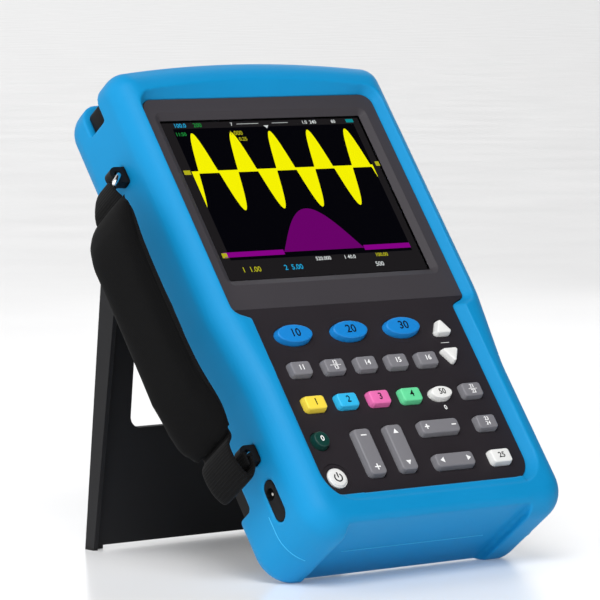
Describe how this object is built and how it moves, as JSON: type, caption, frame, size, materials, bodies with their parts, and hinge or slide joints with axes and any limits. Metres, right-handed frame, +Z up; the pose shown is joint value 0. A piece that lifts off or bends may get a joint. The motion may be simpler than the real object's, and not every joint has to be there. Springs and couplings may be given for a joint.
{
  "type": "handheld oscilloscope",
  "caption": "Handheld oscilloscope in a soft rubber boot, leaning on its fold-out stand, with a display over a rubber keypad and a padded hand strap on one side.",
  "frame": {"origin": "on the table, under the middle of the whole instrument's box as it leans on its stand", "axes": "+X to the viewer's right across the front, +Y from the front towards the stand, +Z up from the table"},
  "size_m": [0.1826, 0.1874, 0.2251],
  "materials": {
    "boot_rubber": "matte moulded",
    "case_plastic": "fine texture",
    "upper_panel": "satin moulded",
    "lower_panel": "satin moulded",
    "window": "clear",
    "display": "screen",
    "flex": "polyimide",
    "silicone_mat": "silicone",
    "circuit_board": "solder mask",
    "tinned_steel": "tinned",
    "battery_wrap": "shrink wrap",
    "screw_steel": "black zinc",
    "nickel": "nickel plated",
    "socket_plastic": "moulded",
    "brass": "gold flashed",
    "chromed_wire": "polished",
    "webbing": "woven",
    "pad_fabric": "knitted",
    "stand_plastic": "fine texture",
    "foot_rubber": "moulded",
    "grey_key": "silicone",
    "blue_key": "silicone",
    "yellow_key": "silicone",
    "cyan_key": "silicone",
    "pink_key": "silicone",
    "mint_key": "silicone",
    "white_key": "silicone",
    "green_key": "silicone"
  },
  "bodies": {
    "device": {"protective_boot": "boot_rubber", "front_case": "case_plastic", "rear_case": "case_plastic", "display_bezel": "upper_panel", "keypad_panel": "lower_panel", "display_window": "window", "display_module": "display", "display_cable": "flex", "keypad_mat": "silicone_mat", "keypad_board": "circuit_board", "main_board": "circuit_board", "input_shield": "tinned_steel", "battery_pack": "battery_wrap", "battery_door": "case_plastic", "battery_door_screws": "screw_steel", "case_screws": "screw_steel", "signal_input_1": "nickel", "signal_input_2": "nickel", "meter_socket_block": "socket_plastic", "meter_sockets": "brass", "power_inlet": "socket_plastic", "buzzer": "socket_plastic", "kickstand_hinge_pins": "screw_steel", "strap_lug_top": "case_plastic", "strap_lug_bottom": "case_plastic", "strap_ring_top": "chromed_wire", "strap_ring_bottom": "chromed_wire", "strap_webbing_top": "webbing", "strap_webbing_bottom": "webbing", "strap_pad": "pad_fabric"},
    "kickstand": {"kickstand": "stand_plastic", "kickstand_feet": "foot_rubber"},
    "mode_key_1": {"mode_key_1": "blue_key"},
    "mode_key_2": {"mode_key_2": "blue_key"},
    "mode_key_3": {"mode_key_3": "blue_key"},
    "menu_key_1": {"menu_key_1": "grey_key"},
    "menu_key_2": {"menu_key_2": "grey_key"},
    "menu_key_3": {"menu_key_3": "grey_key"},
    "menu_key_4": {"menu_key_4": "grey_key"},
    "menu_key_5": {"menu_key_5": "grey_key"},
    "yellow_key": {"yellow_key": "yellow_key"},
    "cyan_key": {"cyan_key": "cyan_key"},
    "pink_key": {"pink_key": "pink_key"},
    "mint_key": {"mint_key": "mint_key"},
    "trigger_level_key": {"trigger_level_key": "white_key"},
    "run_key": {"run_key": "grey_key"},
    "user_key": {"user_key": "green_key"},
    "power_key": {"power_key": "white_key"},
    "single_key": {"single_key": "grey_key"},
    "auto_key": {"auto_key": "white_key"},
    "level_up_key": {"level_up_key": "white_key"},
    "level_down_key": {"level_down_key": "white_key"},
    "volts_rocker": {"volts_rocker": "grey_key"},
    "position_rocker": {"position_rocker": "grey_key"},
    "time_rocker": {"time_rocker": "grey_key"},
    "scroll_rocker": {"scroll_rocker": "grey_key"}
  },
  "joints": [
    {"name": "kickstand_hinge", "type": "hinge", "parent": "device", "child": "kickstand", "pos_m": [0.01225, 0.05835, 0.15674], "axis": [1, 0, 0], "range_deg": [-43.4, 0]},
    {"name": "mode_key_1_press", "type": "slide", "parent": "device", "child": "mode_key_1", "axis": [0, 0.7958, -0.6056], "range_m": [0, 0.0009], "stiffness_N_per_m": 300},
    {"name": "mode_key_2_press", "type": "slide", "parent": "device", "child": "mode_key_2", "axis": [0, 0.7958, -0.6056], "range_m": [0, 0.0009], "stiffness_N_per_m": 300},
    {"name": "mode_key_3_press", "type": "slide", "parent": "device", "child": "mode_key_3", "axis": [0, 0.7958, -0.6056], "range_m": [0, 0.0009], "stiffness_N_per_m": 300},
    {"name": "menu_key_1_press", "type": "slide", "parent": "device", "child": "menu_key_1", "axis": [0, 0.7958, -0.6056], "range_m": [0, 0.0009], "stiffness_N_per_m": 300},
    {"name": "menu_key_2_press", "type": "slide", "parent": "device", "child": "menu_key_2", "axis": [0, 0.7958, -0.6056], "range_m": [0, 0.0009], "stiffness_N_per_m": 300},
    {"name": "menu_key_3_press", "type": "slide", "parent": "device", "child": "menu_key_3", "axis": [0, 0.7958, -0.6056], "range_m": [0, 0.0009], "stiffness_N_per_m": 300},
    {"name": "menu_key_4_press", "type": "slide", "parent": "device", "child": "menu_key_4", "axis": [0, 0.7958, -0.6056], "range_m": [0, 0.0009], "stiffness_N_per_m": 300},
    {"name": "menu_key_5_press", "type": "slide", "parent": "device", "child": "menu_key_5", "axis": [0, 0.7958, -0.6056], "range_m": [0, 0.0009], "stiffness_N_per_m": 300},
    {"name": "yellow_key_press", "type": "slide", "parent": "device", "child": "yellow_key", "axis": [0, 0.7958, -0.6056], "range_m": [0, 0.0009], "stiffness_N_per_m": 300},
    {"name": "cyan_key_press", "type": "slide", "parent": "device", "child": "cyan_key", "axis": [0, 0.7958, -0.6056], "range_m": [0, 0.0009], "stiffness_N_per_m": 300},
    {"name": "pink_key_press", "type": "slide", "parent": "device", "child": "pink_key", "axis": [0, 0.7958, -0.6056], "range_m": [0, 0.0009], "stiffness_N_per_m": 300},
    {"name": "mint_key_press", "type": "slide", "parent": "device", "child": "mint_key", "axis": [0, 0.7958, -0.6056], "range_m": [0, 0.0009], "stiffness_N_per_m": 300},
    {"name": "trigger_level_key_press", "type": "slide", "parent": "device", "child": "trigger_level_key", "axis": [0, 0.7958, -0.6056], "range_m": [0, 0.0009], "stiffness_N_per_m": 300},
    {"name": "run_key_press", "type": "slide", "parent": "device", "child": "run_key", "axis": [0, 0.7958, -0.6056], "range_m": [0, 0.0009], "stiffness_N_per_m": 300},
    {"name": "user_key_press", "type": "slide", "parent": "device", "child": "user_key", "axis": [0, 0.7958, -0.6056], "range_m": [0, 0.0009], "stiffness_N_per_m": 300},
    {"name": "power_key_press", "type": "slide", "parent": "device", "child": "power_key", "axis": [0, 0.7958, -0.6056], "range_m": [0, 0.0009], "stiffness_N_per_m": 300},
    {"name": "single_key_press", "type": "slide", "parent": "device", "child": "single_key", "axis": [0, 0.7958, -0.6056], "range_m": [0, 0.0009], "stiffness_N_per_m": 300},
    {"name": "auto_key_press", "type": "slide", "parent": "device", "child": "auto_key", "axis": [0, 0.7958, -0.6056], "range_m": [0, 0.0009], "stiffness_N_per_m": 300},
    {"name": "level_up_key_press", "type": "slide", "parent": "device", "child": "level_up_key", "axis": [0, 0.7958, -0.6056], "range_m": [0, 0.0009], "stiffness_N_per_m": 300},
    {"name": "level_down_key_press", "type": "slide", "parent": "device", "child": "level_down_key", "axis": [0, 0.7958, -0.6056], "range_m": [0, 0.0009], "stiffness_N_per_m": 300},
    {"name": "volts_rocker_tilt", "type": "hinge", "parent": "device", "child": "volts_rocker", "pos_m": [-0.01605, -0.0714, 0.05543], "axis": [1, 0, 0], "range_deg": [-2.5, 2.5], "stiffness_Nm_per_rad": 0.03},
    {"name": "position_rocker_tilt", "type": "hinge", "parent": "device", "child": "position_rocker", "pos_m": [0.00225, -0.07104, 0.05591], "axis": [1, 0, 0], "range_deg": [-2.5, 2.5], "stiffness_Nm_per_rad": 0.03},
    {"name": "time_rocker_tilt", "type": "hinge", "parent": "device", "child": "time_rocker", "pos_m": [0.02895, -0.06565, 0.06299], "axis": [0, 0.6056, 0.7958], "range_deg": [-2.5, 2.5], "stiffness_Nm_per_rad": 0.03},
    {"name": "scroll_rocker_tilt", "type": "hinge", "parent": "device", "child": "scroll_rocker", "pos_m": [0.02895, -0.07631, 0.04898], "axis": [0, 0.6056, 0.7958], "range_deg": [-2.5, 2.5], "stiffness_Nm_per_rad": 0.03}
  ]
}
